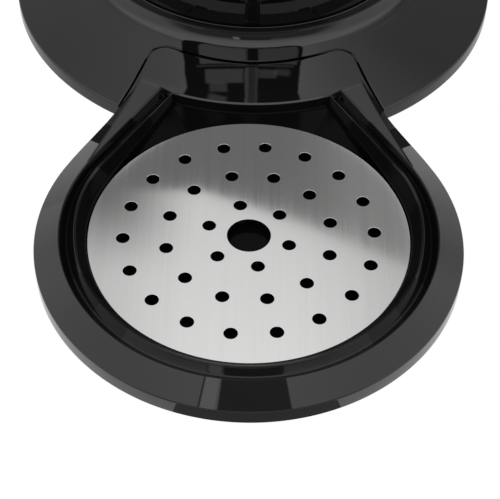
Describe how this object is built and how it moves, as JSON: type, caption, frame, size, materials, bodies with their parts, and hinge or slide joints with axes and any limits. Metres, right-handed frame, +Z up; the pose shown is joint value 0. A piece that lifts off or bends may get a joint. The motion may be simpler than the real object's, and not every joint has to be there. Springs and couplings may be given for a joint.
{
  "type": "pod coffee machine",
  "caption": "Single-serve pod coffee machine: round foot, nesting drip tray with a perforated steel grate, column, hinged brew head with a locking bail and a lift-off water tank.",
  "frame": {"origin": "on the table, under the middle of the machine's footprint", "axes": "+Z up; -Y the front, where the drip tray is; +X the machine's left as seen from behind, the right as seen from the front"},
  "size_m": [0.21, 0.3456, 0.274],
  "materials": {
    "gloss_black": "high gloss injection-moulded ABS",
    "satin_black": "fine satin moulded plastic",
    "brushed_steel": "fine straight brushed stainless steel",
    "chrome": "bright plated metal",
    "rubber_black": "soft matt rubber",
    "seal_silicone": "food-grade silicone seal",
    "smoked_tank": "clear smoked copolyester",
    "galvanised": "zinc-plated sheet steel",
    "cast_alu": "cast aluminium",
    "brass": "turned brass",
    "hose_silicone": "milky silicone hose",
    "circuit_green": "coated circuit board",
    "white_plastic": "natural white acetal",
    "float_red": "red foam-filled plastic",
    "light_guide": "frosted light guide",
    "panel_black": "back-painted acrylic panel",
    "pump_body": "black enamelled pump body",
    "spring_steel": "spring steel wire",
    "valve_blue": "blue acetal"
  },
  "bodies": {
    "machine": {"base_cover": "gloss_black", "base_pan": "satin_black", "base_feet": "rubber_black", "pan_screws": "chrome", "cord_gland": "satin_black", "tank_socket": "white_plastic", "socket_seal": "seal_silicone", "column_casing": "gloss_black", "column_trim": "satin_black", "column_back": "satin_black", "chassis": "galvanised", "pump": "pump_body", "pump_mounts": "rubber_black", "boiler": "cast_alu", "boiler_clamp": "brushed_steel", "thermostat": "satin_black", "relief_valve": "brass", "inlet_hose": "hose_silicone", "feed_hose": "hose_silicone", "brew_hose": "hose_silicone", "power_board": "circuit_green", "head_lower": "gloss_black", "top_cover": "gloss_black", "head_screws": "chrome", "brew_bowl": "satin_black", "coffee_collector": "satin_black", "spout": "satin_black", "hinge_pin": "chrome", "spring_one_cup": "spring_steel", "spring_power": "spring_steel", "spring_two_cups": "spring_steel", "button_board": "circuit_green", "panel_plate": "panel_black", "light_ring": "light_guide", "pod_holder": "satin_black", "pod_sieve": "brushed_steel"},
    "tray": {"drip_tray": "gloss_black", "tray_pads": "rubber_black"},
    "grate": {"drip_grate": "brushed_steel"},
    "lid": {"brew_lid": "gloss_black", "lid_liner": "satin_black", "spray_disc": "brushed_steel", "lid_seal": "rubber_black"},
    "bail": {"lock_lever": "chrome", "lever_pins": "chrome"},
    "one_cup_key": {"button_one_cup": "gloss_black"},
    "power_key": {"button_power": "chrome"},
    "two_cups_key": {"button_two_cups": "gloss_black"},
    "tank": {"water_tank": "smoked_tank", "tank_lid_pins": "chrome", "valve_body": "white_plastic", "valve_spring": "spring_steel", "valve_seal": "seal_silicone", "float_cage": "white_plastic"},
    "tank_cap": {"tank_lid": "gloss_black"},
    "valve": {"valve_stem": "valve_blue"},
    "float": {"level_float": "float_red"}
  },
  "joints": [
    {"name": "tray_slide", "type": "slide", "parent": "machine", "child": "tray", "axis": [0, -1, 0], "range_m": [0, 0.12]},
    {"name": "grate_lift", "type": "slide", "parent": "tray", "child": "grate", "axis": [0, 0, 1], "range_m": [0, 0.03]},
    {"name": "lid_hinge", "type": "hinge", "parent": "machine", "child": "lid", "pos_m": [0, -0.0322, 0.27], "axis": [-1, 0, 0], "range_deg": [0, 80]},
    {"name": "bail_hinge", "type": "hinge", "parent": "lid", "child": "bail", "pos_m": [0, -0.0742, 0.25], "axis": [-1, 0, 0], "range_deg": [0, 75]},
    {"name": "one_cup_press", "type": "slide", "parent": "machine", "child": "one_cup_key", "axis": [0, 0, -1], "range_m": [0, 0.0012], "stiffness_N_per_m": 500, "springref_m": -0.003, "deforming": ["spring_one_cup"]},
    {"name": "power_press", "type": "slide", "parent": "machine", "child": "power_key", "axis": [0, 0, -1], "range_m": [0, 0.0012], "stiffness_N_per_m": 500, "springref_m": -0.003, "deforming": ["spring_power"]},
    {"name": "two_cups_press", "type": "slide", "parent": "machine", "child": "two_cups_key", "axis": [0, 0, -1], "range_m": [0, 0.0012], "stiffness_N_per_m": 500, "springref_m": -0.003, "deforming": ["spring_two_cups"]},
    {"name": "tank_lift", "type": "slide", "parent": "machine", "child": "tank", "axis": [0, 0, 1], "range_m": [0, 0.08]},
    {"name": "tank_lid_hinge", "type": "hinge", "parent": "tank", "child": "tank_cap", "pos_m": [0, 0.0993, 0.267], "axis": [1, 0, 0], "range_deg": [0, 85]},
    {"name": "valve_press", "type": "slide", "parent": "tank", "child": "valve", "axis": [0, 0, 1], "range_m": [0, 0.003], "stiffness_N_per_m": 120, "springref_m": -0.004, "deforming": ["valve_spring"]},
    {"name": "float_rise", "type": "slide", "parent": "tank", "child": "float", "axis": [0, 0, 1], "range_m": [0, 0.02]}
  ]
}
